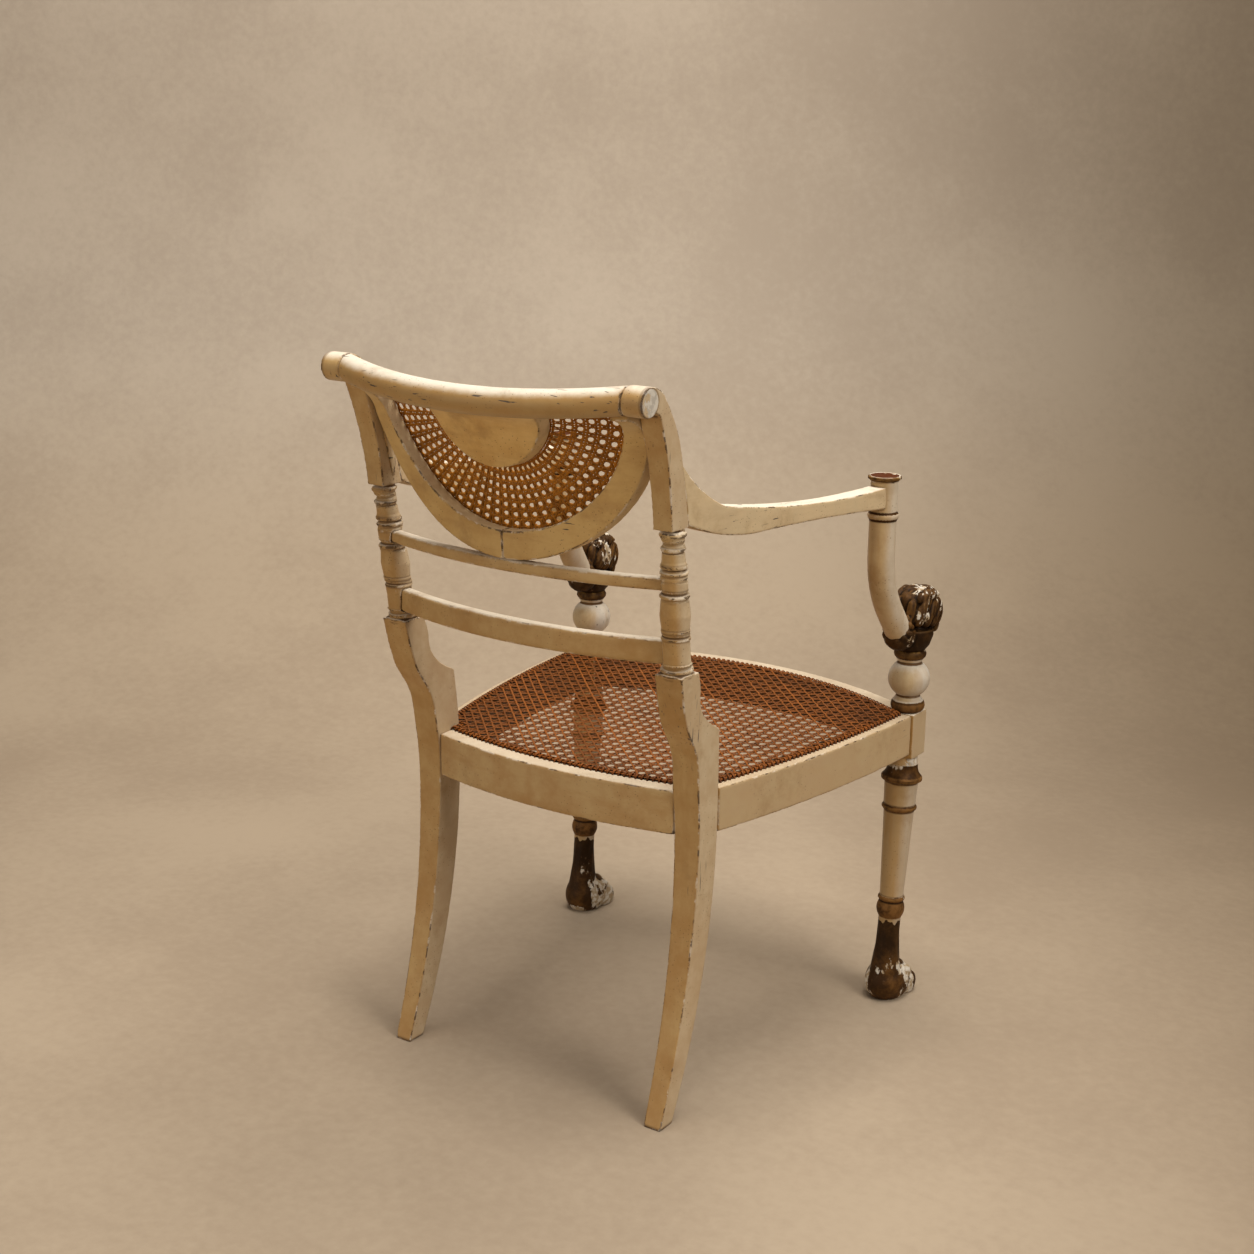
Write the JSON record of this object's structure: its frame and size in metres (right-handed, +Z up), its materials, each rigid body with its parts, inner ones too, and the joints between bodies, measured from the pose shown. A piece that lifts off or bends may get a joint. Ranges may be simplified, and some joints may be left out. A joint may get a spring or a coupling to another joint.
{
  "type": "cane seat armchair",
  "caption": "Painted wooden armchair with sabre rear legs, a bowed rolled back with a half-round caned splat, lion-headed arm supports, paw feet and a cane seat.",
  "frame": {"origin": "on the floor under the middle of the chair's overall width and depth", "axes": "+Z up, the chair faces -Y, +X to the sitter's left"},
  "size_m": [0.572, 0.701, 0.897],
  "materials": {
    "cream_paint": "aged cream paint",
    "pale_paint": "aged pale cream paint",
    "worn_gilding": "worn dark gilding over gesso",
    "seat_cane": "woven cane",
    "back_cane": "woven cane"
  },
  "bodies": {
    "root": {"rear_post_left": "cream_paint", "rear_post_right": "cream_paint", "crest_rail": "cream_paint", "upper_cross_rail": "cream_paint", "lower_cross_rail": "cream_paint", "splat_rim_left": "cream_paint", "splat_rim_right": "cream_paint", "splat_dowel": "cream_paint", "splat_tablet": "cream_paint", "seat_rail_rear": "cream_paint", "seat_rail_front": "cream_paint", "seat_rail_left": "cream_paint", "seat_rail_right": "cream_paint", "arm_left": "cream_paint", "arm_right": "cream_paint", "front_leg_left": "pale_paint", "front_leg_right": "pale_paint", "arm_baluster_left": "pale_paint", "arm_baluster_right": "pale_paint", "arm_column_left": "pale_paint", "arm_column_right": "pale_paint", "lion_head_left": "worn_gilding", "lion_head_right": "worn_gilding", "arm_cap_left": "worn_gilding", "arm_cap_right": "worn_gilding", "seat_cane_panel": "seat_cane", "back_cane_panel": "back_cane"}
  },
  "joints": []
}
